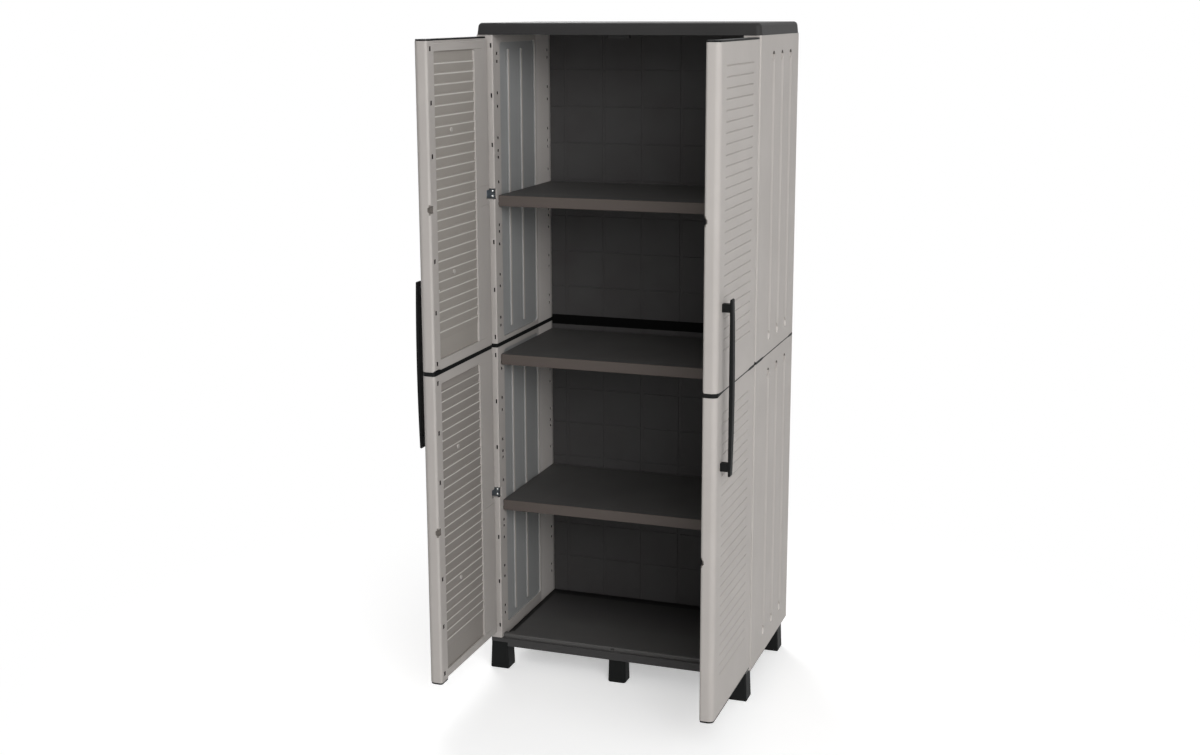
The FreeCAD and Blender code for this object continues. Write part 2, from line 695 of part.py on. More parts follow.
def shelf_clips():
    """Four clips for each shelf: a tongue in a slot of the side panel and a block in the shelf's end."""
    clips = []
    half_w = SLOT_WIDTH / 2
    half_h = SLOT_HEIGHT / 2
    tip = -INNER_X - CLIP_TONGUE
    for top in SHELF_TOPS.values():
        bottom = top - SHELF_THICKNESS
        z = clip_height(top)
        for slot_row, clip_row in zip((SLOT_FRONT_ROW, SLOT_REAR_ROW), CLIP_ROWS):
            tongue = box(tip, -INNER_X + PAST, slot_row - half_w, slot_row + half_w, z - half_h, z + half_h)
            clip = joined([tongue, clip_block(clip_row, bottom, bottom + CLIP_HEIGHT, 0)])
            clips += [clip, mirrored(clip)]
    return Part.makeCompound(clips)


# Doors, drawn for the left side at rest: the leaf runs forward from its pivot, and its inner face looks to +X

def leaf_outline(inset, z):
    """Plan of a door leaf: a half-round hinge edge about the pivot and a rounded free edge."""
    r = HALF_T - inset
    outer_x = -PIVOT_X - r
    inner_x = -PIVOT_X + r
    free = PIVOT_Y - LEAF + inset
    big = FREE_OUTER_RADIUS
    small = FREE_INNER_RADIUS
    c = 1 - math.sqrt(0.5)
    outer_hinge = V(outer_x, PIVOT_Y, z)
    hinge_tip = V(-PIVOT_X, PIVOT_Y + r, z)
    inner_hinge = V(inner_x, PIVOT_Y, z)
    inner_free = V(inner_x, free + small, z)
    inner_corner = V(inner_x - c * small, free + c * small, z)
    free_inner = V(inner_x - small, free, z)
    free_outer = V(outer_x + big, free, z)
    outer_corner = V(outer_x + c * big, free + c * big, z)
    outer_free = V(outer_x, free + big, z)
    edges = [
        Part.Arc(outer_hinge, hinge_tip, inner_hinge).toShape(),
        Part.LineSegment(inner_hinge, inner_free).toShape(),
        Part.Arc(inner_free, inner_corner, free_inner).toShape(),
        Part.LineSegment(free_inner, free_outer).toShape(),
        Part.Arc(free_outer, outer_corner, outer_free).toShape(),
        Part.LineSegment(outer_free, outer_hinge).toShape(),
    ]
    return Part.Wire(edges)


def leaf_block(inset, z0, z1):
    """The full-thickness leaf between two heights."""
    return Part.Face(leaf_outline(inset, z0)).extrude(V(0, 0, z1 - z0))


def along(distance):
    """Y of a point a distance from the leaf's hinge edge."""
    return PIVOT_Y + HALF_T - distance


def leaf_hollow(span, inset, z0, z1):
    """A blown hollow of the leaf between two distances from its hinge edge; an inset gives its plug."""
    x0 = -HALF_W + DOOR_SKIN + inset
    x1 = DOOR_INNER - DOOR_INNER_WALL - inset
    return rounded_block(x0, x1, along(span[1]) + inset, along(span[0]) - inset, z0, z1, HOLLOW_CORNER)


def end_step(z0, z1):
    """The strip by which the leaf's inner face stops short at its ends, from the hinge to the free stile."""
    step_face = DOOR_INNER - END_STEP_DEPTH
    return box(step_face, DOOR_INNER + PAST, along(LEAF_LENGTH - FREE_STILE), along(-PAST), z0, z1)


def leaf_lip(z0, z1):
    """The outer skin that laps over a leaf's joiner, between two heights and short of the joiner's line."""
    skin = box(-HALF_W, -HALF_W + LIP, along(LEAF_LENGTH - FREE_OUTER_RADIUS), along(HALF_T), z0, z1)
    return skin.cut([leaf_joiner_line()])


def leaf_joiner_line():
    """The joiner's line in a leaf: it is wider at the free corner and near the hinge edge."""
    corner = LEAF_LENGTH - FREE_OUTER_RADIUS
    return joiner_line(-HALF_W, [
        (along(corner), JOINER_LINE_CORNER),
        (along(corner - JOINER_CORNER_TAPER), JOINER_LINE),
        (along(JOINER_HINGE_REACH + JOINER_STEP), JOINER_LINE),
        (along(JOINER_HINGE_REACH), JOINER_LINE_END),
        (along(HALF_T), JOINER_LINE_END),
    ])


def slats(low):
    """The slats in the recess: each is proud along its top, has a sloping nose and leans back below it."""
    y0 = along(LEAF_LENGTH - FREE_STILE)
    outline = [V(RECESS_FLOOR - PAST, y0, low - GROOVE_PITCH)]
    for i in range(GROOVE_COUNT):
        z = low + i * GROOVE_PITCH
        outline.append(V(RECESS_FLOOR, y0, z - GROOVE_PITCH + SLAT_NOSE))
        outline.append(V(RECESS_FLOOR + SLAT_PROUD, y0, z))
    top = low + (GROOVE_COUNT - 1) * GROOVE_PITCH
    outline.append(V(RECESS_FLOOR, y0, top + SLAT_NOSE))
    outline.append(V(RECESS_FLOOR - PAST, y0, top + SLAT_NOSE))
    return polygon_prism(outline, V(0, LEAF_LENGTH - FREE_STILE - HINGE_STILE, 0))


def bosses(louvre_middle):
    """Two small round bosses between slats, above and below the middle of the recess."""
    y = along(BOSS_FROM_HINGE)
    between = louvre_middle - GROOVE_PITCH / 2
    heights = [between + side * BOSS_STEPS * GROOVE_PITCH for side in (-1, 1)]
    return [Part.makeCylinder(BOSS_RADIUS, BOSS_HEIGHT, V(RECESS_FLOOR, y, z), V(1, 0, 0)) for z in heights]


def stile_slope(z0, z1):
    """What is cut from the hinge stile so that it leans a little into the recess."""
    start = along(STILE_SLOPE_START)
    end = along(HINGE_STILE)
    outline = [
        V(DOOR_INNER + PAST, start, z0),
        V(DOOR_INNER, start, z0),
        V(DOOR_INNER - STILE_SLOPE_DEPTH, end, z0),
        V(DOOR_INNER + PAST, end, z0),
    ]
    return polygon_prism(outline, V(0, 0, z1 - z0))


def outer_grooves(low):
    """The grooves in the outer face: each is cut square above and slopes out below, like a louvre."""
    grooves = []
    x = -HALF_W
    y0 = along(GROOVE_END)
    for i in range(GROOVE_COUNT):
        z = low + i * GROOVE_PITCH
        top = z + GROOVE_WIDTH / 2
        bottom = z - GROOVE_WIDTH / 2
        profile = [
            V(x - PAST, y0, top),
            V(x - PAST, y0, bottom),
            V(x, y0, bottom),
            V(x + GROOVE_DEPTH, y0, top - GROOVE_SLOPE),
            V(x + GROOVE_DEPTH, y0, top),
        ]
        grooves.append(polygon_prism(profile, V(0, GROOVE_END - GROOVE_START, 0)))
    return grooves


def free_edge_cuts(middle):
    """The narrow slots along the free stile and the bite in its inner edge at half height."""
    y = along(LEAF_LENGTH - DOOR_SLOT_FROM_EDGE)
    x = DOOR_INNER - DOOR_SLOT_DEPTH
    half_w = DOOR_SLOT_WIDTH / 2
    half_h = KEY_SLOT_HEIGHT / 2
    cuts = []
    for step in (-3, -2, -1, 1, 2, 3):
        z = middle + step * KEY_SLOT_PITCH
        cuts.append(box(x, DOOR_INNER + PAST, y - half_w, y + half_w, z - half_h, z + half_h))
    wide, narrow = BITE_HALF_HEIGHTS
    start = along(LEAF_LENGTH) - PAST
    profile = [
        V(DOOR_INNER + PAST, start, middle - wide),
        V(DOOR_INNER + PAST, start, middle + wide),
        V(DOOR_INNER - BITE_DEPTH, start, middle + narrow),
        V(DOOR_INNER - BITE_DEPTH, start, middle - narrow),
    ]
    cuts.append(polygon_prism(profile, V(0, BITE_LENGTH + PAST, 0)))
    return cuts


def hinge_cuts(middle):
    """The pocket for the knuckle, the bores for the pin and the shallow rebate beside them."""
    reach = KNUCKLE_RADIUS + KNUCKLE_CLEARANCE
    pocket_x = -HALF_W + POCKET_SKIN
    low = middle - POCKET_HALF_HEIGHT
    high = middle + POCKET_HALF_HEIGHT
    pocket = box(pocket_x, DOOR_INNER + PAST, PIVOT_Y - reach, PIVOT_Y + HALF_T + PAST, low, high)
    bore = rod(-PIVOT_X, PIVOT_Y, low - PIN_BITE, high + PIN_BITE, PIN_RADIUS)
    rebate = box(
        DOOR_INNER - REBATE_DEPTH,
        DOOR_INNER + PAST,
        along(REBATE_REACH),
        along(-PAST),
        middle - REBATE_HALF_HEIGHT,
        middle + REBATE_HALF_HEIGHT,
    )
    return [pocket, bore, rebate]


def door_panel(z0, z1, middle, is_upper):
    """One storey of the left leaf: double-walled, louvred outside, with a shallow recess inside."""
    lip = leaf_lip(SEAM, SEAM_HIGH) if is_upper else leaf_lip(SEAM_LOW, SEAM)
    recess_wire = rounded_rectangle(
        along(LEAF_LENGTH - FREE_STILE), along(HINGE_STILE), z0 + RAIL, z1 - RAIL, RECESS_CORNER, 0
    )
    recess = Part.Face(recess_wire).extrude(V(0, 0, RECESS_DEPTH + PAST))
    recess.Placement = seen_from_the_side(RECESS_FLOOR)
    louvre_middle = middle + LOUVRE_RISE[middle]
    low = louvre_middle - (GROOVE_COUNT - 1) / 2 * GROOVE_PITCH
    panel = leaf_block(0, z0, z1).cut([recess, stile_slope(z0 + RAIL, z1 - RAIL)])
    panel = panel.fuse([lip, slats(low)] + bosses(louvre_middle))

    spans = (HINGE_HOLLOW, MIDDLE_HOLLOW, FREE_HOLLOW)
    panel = panel.cut([leaf_hollow(span, 0, z0 - PAST, z1 + PAST) for span in spans])
    panel = panel.cut(outer_grooves(low) + free_edge_cuts(middle) + hinge_cuts(middle))
    if is_upper:
        corner = edge_rounder(0, 0, 1, 1, SEAM_CORNER_RADIUS, 0, FREE_STILE + PAST)
        inward_up_and_back = FreeCAD.Rotation(V(-1, 0, 0), V(0, 0, 1), V(0, 1, 0), "XYZ")
        corner.Placement = FreeCAD.Placement(V(DOOR_INNER, along(LEAF_LENGTH) - PAST, z0), inward_up_and_back)
        panel = panel.cut([corner, end_step(z1 - END_STEP_HEIGHT, z1 + PAST)])
    else:
        panel = panel.cut([end_step(z0 - PAST, z0 + END_STEP_HEIGHT)])
    screw_heights = [z for z in handle_post_heights() if z0 < z < z1]
    panel = panel.cut([handle_screw(z) for z in screw_heights])
    return panel.removeSplitter()


def door_joiner():
    """The black strip between the two storeys of a leaf, with plugs into both free stiles."""
    web = leaf_block(0, SEAM_LOW, SEAM_HIGH)
    web = web.cut([leaf_lip(SEAM_LOW - PAST, SEAM_HIGH + PAST)])
    plug = leaf_hollow(FREE_HOLLOW, PLUG_INSET, SEAM_LOW - JOINER_PLUG, SEAM_HIGH + JOINER_PLUG)
    return joined([web, plug])


def door_cap(z0, z1, is_bottom):
    """The black cap on the top or bottom end of a leaf, with a plug in the free stile."""
    plate = leaf_block(CAP_INSET, z0, z1).cut([end_step(z0 - PAST, z1 + PAST)])
    plug_low = z1 - PAST if is_bottom else z0 - CAP_PLUG
    plug_high = z1 + CAP_PLUG if is_bottom else z0 + PAST
    return joined([plate, leaf_hollow(FREE_HOLLOW, PLUG_INSET, plug_low, plug_high)])


def hinge_pins():
    """The two pins of a leaf, one at the middle height of each storey."""
    half = POCKET_HALF_HEIGHT + PIN_BITE
    middles = (LOWER_MIDDLE, UPPER_MIDDLE)
    return Part.makeCompound([rod(-PIVOT_X, PIVOT_Y, z - half, z + half, PIN_RADIUS) for z in middles])


# Hinge brackets on the left side panel

def hinge_screws(middle):
    """Two screws through a bracket's plate into the side panel."""
    x = -INNER_X - HINGE_SCREW_IN
    heights = (middle - HINGE_SCREW_SPREAD, middle + HINGE_SCREW_SPREAD)
    head_face = PLATE_FACE - HINGE_SCREW[1]
    return [screw(V(x, head_face, z), V(0, 1, 0), *HINGE_SCREW) for z in heights]


def hinge_bracket(middle):
    """A plate on the side panel with an arm and a knuckle that turns on the leaf's pin."""
    half = PLATE_HALF_HEIGHT
    k = KNUCKLE_HALF_HEIGHT
    outer_inset, inner_inset = PLATE_INSET
    plate_x0 = -HALF_W + outer_inset
    plate_x1 = -INNER_X - inner_inset
    plate = box(plate_x0, plate_x1, PLATE_FACE, PLATE_BACK, middle - half, middle + half)
    arm_start = PIVOT_Y + KNUCKLE_RADIUS - PAST
    arm = box(-PIVOT_X - HALF_ARM, -PIVOT_X + HALF_ARM, arm_start, PLATE_FACE + PAST, middle - k, middle + k)
    knuckle = rod(-PIVOT_X, PIVOT_Y, middle - k, middle + k, KNUCKLE_RADIUS)
    bore = rod(-PIVOT_X, PIVOT_Y, middle - k - PAST, middle + k + PAST, PIN_RADIUS + PIN_PLAY)
    whole = plate.fuse([arm, knuckle]).cut([bore] + hinge_screws(middle))
    return whole.removeSplitter()


# Handles

def handle_post_heights():
    """Middle heights of the two posts of a handle."""
    return (HANDLE_MIDDLE - POST_REACH, HANDLE_MIDDLE + POST_REACH)


def handle():
    """A bar that is thickest in the middle and stands off the left leaf's outer face on two posts."""
    y0 = HANDLE_Y - HANDLE_WIDTH / 2
    tip = HANDLE_TIP
    near = -HALF_W - HANDLE_GAP
    far = near - HANDLE_BAR
    low = HANDLE_MIDDLE - HANDLE_HALF_LENGTH
    high = HANDLE_MIDDLE + HANDLE_HALF_LENGTH
    slim = near - 2 * tip
    edges = [
        Part.Arc(V(slim, y0, high - tip), V(far, y0, HANDLE_MIDDLE), V(slim, y0, low + tip)).toShape(),
        Part.Arc(V(slim, y0, low + tip), V(near - tip, y0, low), V(near, y0, low + tip)).toShape(),
        Part.LineSegment(V(near, y0, low + tip), V(near, y0, high - tip)).toShape(),
        Part.Arc(V(near, y0, high - tip), V(near - tip, y0, high), V(slim, y0, high - tip)).toShape(),
    ]
    bar = Part.Face(Part.Wire(edges)).extrude(V(0, HANDLE_WIDTH, 0))
    long_edges = [e for e in bar.Edges if e.BoundBox.YLength < SAME]
    bar = bar.makeFillet(HANDLE_EDGE_RADIUS, long_edges)
    half_y = POST_HALF_Y
    half_z = POST_HALF_Z
    posts = [
        box(near - PAST, -HALF_W, HANDLE_Y - half_y, HANDLE_Y + half_y, z - half_z, z + half_z)
        for z in handle_post_heights()
    ]
    whole = joined([bar] + posts)
    return whole.cut([handle_screw(z) for z in handle_post_heights()])


def handle_screw(z):
    """A screw through the leaf into a handle post; its head is level with the crests of the slats."""
    return screw(V(RECESS_FLOOR + SLAT_PROUD, HANDLE_Y, z), V(-1, 0, 0), *HANDLE_SCREW)


# Making every node

def build():
    """All nodes by name, before the final move."""
    nodes = {}
    nodes["base_tray"] = base_tray()
    nodes["lid"] = lid()
    side_lower = side_panel(RIM_TOP, SEAM_LOW, LOWER_MIDDLE, False)
    side_upper = side_panel(SEAM_HIGH, LID_BOTTOM, UPPER_MIDDLE, True)
    joiner = side_joiner()
    for name, piece in (("side_lower", side_lower), ("side_upper", side_upper), ("side_joiner", joiner)):
        nodes["left_" + name] = piece
        nodes["right_" + name] = mirrored(piece)
    web, lips = back_joiner()
    nodes["back_panel_lower"] = back_panel(RIM_TOP, SEAM - BACK_BAND / 2, LOWER_MIDDLE).cut([lips])
    nodes["back_panel_upper"] = back_panel(SEAM + BACK_BAND / 2, LID_BOTTOM, UPPER_MIDDLE).cut([lips])
    nodes["back_joiner"] = joined([web, lips])
    for name, top in SHELF_TOPS.items():
        nodes[name] = shelf(top)
    nodes["shelf_clips"] = shelf_clips()
    for name, (x, y) in FOOT_PLACES.items():
        nodes[name] = foot(x, y, foot_top(name), MIDDLE_FOOT if name.endswith("middle") else CORNER_FOOT)
    nodes["lid_catch"] = lid_catch()

    screws = []
    for storey, middle in (("lower", LOWER_MIDDLE), ("upper", UPPER_MIDDLE)):
        bracket = hinge_bracket(middle)
        nodes["left_hinge_bracket_" + storey] = bracket
        nodes["right_hinge_bracket_" + storey] = mirrored(bracket)
        screws += hinge_screws(middle)
    nodes["hinge_screws"] = Part.makeCompound(screws + [mirrored(s) for s in screws])

    leaf = {
        "door_lower": door_panel(DOOR_BOTTOM + CAP_HEIGHT, SEAM_LOW, LOWER_MIDDLE, False),
        "door_upper": door_panel(SEAM_HIGH, DOOR_TOP - CAP_HEIGHT, UPPER_MIDDLE, True),
        "door_joiner": door_joiner(),
        "door_bottom_cap": door_cap(DOOR_BOTTOM, DOOR_BOTTOM + CAP_HEIGHT, True),
        "door_top_cap": door_cap(DOOR_TOP - CAP_HEIGHT, DOOR_TOP, False),
        "handle": handle(),
        "handle_screws": Part.makeCompound([handle_screw(z) for z in handle_post_heights()]),
        "hinge_pins": hinge_pins(),
    }
    for name, piece in leaf.items():
        nodes["left_" + name] = piece
        nodes["right_" + name] = mirrored(piece)
    return nodes


def main():
    os.makedirs("parts", exist_ok=True)
    for name, shape in build().items():
        shape.translate(V(0, SHIFT_Y, 0))
        shape.exportStep("parts/" + name + ".step")
        litres = round(shape.Volume / 1e6, 3)
        print(name, "solids", len(shape.Solids), "valid", shape.isValid(), "litres", litres)


main()
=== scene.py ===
# %% [markdown]
# # A tall resin storage cabinet, dressed for its picture
# The cabinet is moulded in polypropylene: taupe walls and doors, charcoal lid, base, shelves and back, and
# black joiners, caps, feet and handles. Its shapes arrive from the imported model, in metres, with +Z up and
# the open doors reaching towards -Y. They could be drawn once more here, but two models soon drift apart, so
# the solids stay as they are. This script adds the finish of each resin and metal, the screw heads, which
# are too fine for the solid model, the floor, the light and the camera.

import json
import math

import bpy
import numpy as np
from mathutils import Matrix, Vector


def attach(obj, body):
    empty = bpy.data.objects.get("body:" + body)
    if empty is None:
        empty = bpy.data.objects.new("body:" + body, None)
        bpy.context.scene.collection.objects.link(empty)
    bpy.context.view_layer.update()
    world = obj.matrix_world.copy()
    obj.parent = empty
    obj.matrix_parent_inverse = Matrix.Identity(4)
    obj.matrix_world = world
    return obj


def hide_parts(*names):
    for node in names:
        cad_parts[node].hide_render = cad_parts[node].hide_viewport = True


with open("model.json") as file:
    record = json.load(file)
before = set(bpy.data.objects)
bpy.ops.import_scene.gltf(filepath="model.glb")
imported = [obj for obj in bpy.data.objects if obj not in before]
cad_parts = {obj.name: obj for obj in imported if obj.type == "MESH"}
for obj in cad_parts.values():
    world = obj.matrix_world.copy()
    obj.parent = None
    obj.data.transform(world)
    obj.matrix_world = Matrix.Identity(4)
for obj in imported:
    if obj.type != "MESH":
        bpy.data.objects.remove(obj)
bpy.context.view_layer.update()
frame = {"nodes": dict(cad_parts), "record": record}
nodes = frame["nodes"]
print("nodes loaded:", len(nodes))

# %% [markdown]
# ## The camera
# The photograph was taken from the front right, from the height of the lid, looking down by 12 degrees. A
# camera could be placed by eye, but then few edges would fall where they should. So this one was fitted by
# least squares to 28 corners of the doors, the lid, the sides, the shelves and the base, in the picture of
# 1200 by 755 pixels. Its lens comes out close to the common one of 50 mm. Its vertical shift was kept small,
# because the views from other sides keep it too.

# %% Where the camera stands and how it is turned
CAMERA_PLACE = Vector((1.23223, -3.65886, 1.67427))
YAW = 0.3360
PITCH = 0.2092
ROLL = -0.0029


def camera_matrix(place, yaw, pitch, roll):
    """Place and turn of a camera that looks along +Y, turned left by yaw and down by pitch.

    The yaw gives the level directions to the right and forwards. The pitch tips the forward one down, and
    the roll turns the right and the upward one about the line of sight.
    """
    level_right = Vector((math.cos(yaw), math.sin(yaw), 0))
    level_forward = Vector((-math.sin(yaw), math.cos(yaw), 0))
    world_up = Vector((0, 0, 1))
    forward = level_forward * math.cos(pitch) - world_up * math.sin(pitch)
    straight_up = world_up * math.cos(pitch) + level_forward * math.sin(pitch)
    right = level_right * math.cos(roll) + straight_up * math.sin(roll)
    up = straight_up * math.cos(roll) - level_right * math.sin(roll)
    turn = Matrix((right, up, -forward)).transposed().to_4x4()
    return Matrix.Translation(place) @ turn


print("camera height m:", round(CAMERA_PLACE.z, 2), "down by degrees:", round(math.degrees(PITCH), 1))

# %% The lens
PICTURE_WIDTH = 1200
PICTURE_HEIGHT = 755
FOCAL_PIXELS = 1621.65
AXIS_ROW = 352.0
SENSOR_MM = 36.0
NEAREST = 0.1
FARTHEST = 200.0

lens = bpy.data.cameras.new("camera")
lens.sensor_width = SENSOR_MM
lens.lens = FOCAL_PIXELS * SENSOR_MM / PICTURE_WIDTH
lens.shift_y = (AXIS_ROW - PICTURE_HEIGHT / 2) / PICTURE_WIDTH
lens.clip_start = NEAREST
lens.clip_end = FARTHEST
camera = bpy.data.objects.new("camera", lens)
bpy.context.scene.collection.objects.link(camera)
camera.matrix_world = camera_matrix(CAMERA_PLACE, YAW, PITCH, ROLL)
bpy.context.scene.camera = camera
print("lens mm:", round(lens.lens, 2), "shift:", round(lens.shift_y, 4))

# %% [markdown]
# ## Helpers for the finishes
# A finish is a small tree of nodes. It could be wired by hand in the shader editor, but a tree that is
# written down can be read, repeated and corrected. Three helpers are enough: one turns a written colour into
# the linear values that Blender calculates with, one adds a node with its settings and links in a single
# line, and one starts an empty material.

# %% Colour and node helpers
def linear(hex_colour):
    """An sRGB colour such as #AABBCC as linear red, green, blue and alpha."""
    channels = [int(hex_colour[i:i + 2], 16) / 255 for i in (1, 3, 5)]
    return tuple(c / 12.92 if c <= 0.04045 else ((c + 0.055) / 1.055) ** 2.4 for c in channels) + (1.0,)


def add(tree, kind, inputs=None, **settings):
    """One node of a kind; inputs maps a socket's name or number to a value or to another node's socket."""
    node = tree.nodes.new(kind)
    for name, value in settings.items():
        setattr(node, name, value)
    for socket, value in (inputs or {}).items():
        if isinstance(value, bpy.types.NodeSocket):
            tree.links.new(value, node.inputs[socket])
        else:
            node.inputs[socket].default_value = value
    return node


def new_finish(name):
    """An empty material: itself, its tree, its object-space coordinates and its output node."""
    material = bpy.data.materials.new(name)
    material.use_nodes = True
    tree = material.node_tree
    tree.nodes.clear()
    coordinates = add(tree, "ShaderNodeTexCoord").outputs["Object"]
    output = add(tree, "ShaderNodeOutputMaterial")
    return material, tree, coordinates, output


print("written #808080 is linear", round(linear("#808080")[0], 3))

# %% [markdown]
# ## Places of another colour
# Some places on a piece look unlike the rest: the depth of a narrow slot is painted dark, as painted shade,
# and the front edge of a shelf is browner. Many of these places are painted light and shade, the rest are
# colours of the thing itself. Each could be a piece of its own with its own material, but on the real cabinet
# it is one moulding, so the change happens within one finish. A place is a box in the piece's own
# coordinates, and so it turns with the doors. X is measured from the middle plane outwards, because the left
# and the right pieces mirror each other, and Y from the middle of the cabinet's body, which lies 174.75 mm
# behind the frame's origin.

# %% A place and its box
MM_IN_M = 1000
SHARP = 0.2
BODY_MIDDLE_Y = 174.75


def box(colour, x=None, y=None, z=None, fade=SHARP):
    """A place of another colour: its spans in mm along each axis, and how far it fades out beyond them."""
    return colour, (x, y, z), fade


def from_middle(tree, coordinates):
    """How far a point lies outwards, backwards and upwards from the foot of the body's middle."""
    ends = {0: coordinates, 1: (0, BODY_MIDDLE_Y / MM_IN_M, 0)}
    moved = add(tree, "ShaderNodeVectorMath", ends, operation="SUBTRACT")
    apart = add(tree, "ShaderNodeSeparateXYZ", {0: moved.outputs[0]})
    outwards = add(tree, "ShaderNodeMath", {0: apart.outputs["X"]}, operation="ABSOLUTE")
    return outwards.outputs[0], apart.outputs["Y"], apart.outputs["Z"]


print("sharp places fade out over mm:", SHARP)

# %% Inside a box
def inside(tree, measures, spans, fade):
    """1 within a box and 0 beyond it.

    Along each axis the distance to the middle of the span runs down from 1 at its end to 0 past the fade. An
    axis whose span is None isn't looked at. The results of the axes are multiplied.
    """
    share = None
    for value, span in zip(measures, spans):
        if span is None:
            continue
        low, high = span
        middle = (low + high) / 2 / MM_IN_M
        reach = (high - low) / 2 / MM_IN_M
        gap = add(tree, "ShaderNodeMath", {0: value, 1: middle}, operation="SUBTRACT")
        gap = add(tree, "ShaderNodeMath", {0: gap.outputs[0]}, operation="ABSOLUTE")
        ends = {"From Min": reach, "From Max": reach + fade / MM_IN_M, "To Min": 1.0, "To Max": 0.0}
        test = add(tree, "ShaderNodeMapRange", {"Value": gap.outputs[0], **ends}).outputs[0]
        if share is not None:
            test = add(tree, "ShaderNodeMath", {0: share, 1: test}, operation="MULTIPLY").outputs[0]
        share = test
    return share


print("a place, for example:", box("#2A2523", x=(308.8, 320.0)))

# %% [markdown]
# ## Moulded polypropylene
# Every big piece of the cabinet is polypropylene, blown for the double-walled panels and injected for the
# rest. Both kinds of mould leave a fine spark-eroded grain of about 0.8 mm, softly rounded edges, and faint
# clouds a hand wide where the melt flowed. One flat colour would look like painted card, and a scanned
# picture of the surface would repeat. So two noises make it: a wide one drifts between two close shades, and
# a fine one lifts the surface and varies its roughness. The grain is drawn at 1.6 mm, because the real one is
# finer than a pixel here. A bevel in the shading rounds the edges that the solid leaves sharp, since no
# moulded edge is ever knife-sharp.

# %% The colours of a resin
CLOUD_MM = 140.0
CLOUD_SPAN = (0.35, 0.65)
# A Mix node has sockets for numbers, vectors and colours under the same names, so they go by number here
MIX_FROM, MIX_TO, MIX_COLOUR = 6, 7, 2


def resin_colours(tree, coordinates, colour, cloud_colour, places):
    """Two close shades that drift into each other, with the places laid over them in their order."""
    noise = {"Vector": coordinates, "Scale": MM_IN_M / CLOUD_MM, "Detail": 3.0}
    clouds = add(tree, "ShaderNodeTexNoise", noise)
    low, high = CLOUD_SPAN
    ends = {"Value": clouds.outputs["Fac"], "From Min": low, "From Max": high}
    drift = add(tree, "ShaderNodeMapRange", ends)
    ends = {"Factor": drift.outputs[0], MIX_FROM: linear(colour), MIX_TO: linear(cloud_colour)}
    colours = add(tree, "ShaderNodeMix", ends, data_type="RGBA").outputs[MIX_COLOUR]
    measures = from_middle(tree, coordinates) if places else None
    for other_colour, spans, fade in places:
        share = inside(tree, measures, spans, fade)
        ends = {"Factor": share, MIX_FROM: colours, MIX_TO: linear(other_colour)}
        colours = add(tree, "ShaderNodeMix", ends, data_type="RGBA").outputs[MIX_COLOUR]
    return colours


print("clouds mm:", CLOUD_MM)

# %% A moulded resin
GRAIN_MM = 1.6
GRAIN_SPAN = (0.3, 0.7)
GRAIN_HEIGHT_MM = 0.4
EDGE_MM = 1.2
ROUGHNESS_DRIFT = 0.05
POLYPROPYLENE_IOR = 1.49


def moulded(name, colour, cloud_colour, places=(), *, roughness, grain_depth, gloss):
    """Resin in two close shades with a fine grain and soft edges; gloss is its specular level."""
    material, tree, coordinates, output = new_finish(name)
    noise = {"Vector": coordinates, "Scale": MM_IN_M / GRAIN_MM, "Detail": 2.0}
    height = add(tree, "ShaderNodeTexNoise", noise).outputs["Fac"]
    soft_edge = add(tree, "ShaderNodeBevel", {"Radius": EDGE_MM / MM_IN_M}, samples=4)
    relief = {
        "Strength": grain_depth,
        "Distance": GRAIN_HEIGHT_MM / MM_IN_M,
        "Height": height,
        "Normal": soft_edge.outputs[0],
    }
    bump = add(tree, "ShaderNodeBump", relief)
    low, high = GRAIN_SPAN
    ends = {
        "Value": height,
        "From Min": low,
        "From Max": high,
        "To Min": roughness - ROUGHNESS_DRIFT,
        "To Max": roughness + ROUGHNESS_DRIFT,
    }
    rough = add(tree, "ShaderNodeMapRange", ends)
    surface = {
        "Base Color": resin_colours(tree, coordinates, colour, cloud_colour, places),
        "Roughness": rough.outputs[0],
        "IOR": POLYPROPYLENE_IOR,
        "Specular IOR Level": gloss,
        "Normal": bump.outputs["Normal"],
    }
    shader = add(tree, "ShaderNodeBsdfPrincipled", surface)
    tree.links.new(shader.outputs[0], output.inputs["Surface"])
    return material


print("grain mm:", GRAIN_MM, "rounded edges mm:", EDGE_MM)

# %% [markdown]
# ## The taupe resin
# The walls and doors are a warm grey, matt and even, and carry the look of the whole cabinet. One finish
# could serve both, but each has places of its own, so there are two. On a side panel the recessed field
# inside is cooler and darker than the strips beside it, a cooler tint with painted shade of the recess, the
# strip at the rear is painted lighter as painted light, and the narrow slots for the shelf clips carry
# painted shade in their depth. Its three flutes outside end in a painted highlight below and a painted shade
# above.
# On a door the slats of the recess carry a painted highlight along their crests and painted shade below them,
# and the slots and bites of the free edge carry painted shade.

# %% Taupe finish of the sides
TAUPE = ("#ABA6A2", "#A7A29E")
TAUPE_SURFACE = {"roughness": 0.6, "grain_depth": 0.5, "gloss": 0.35}
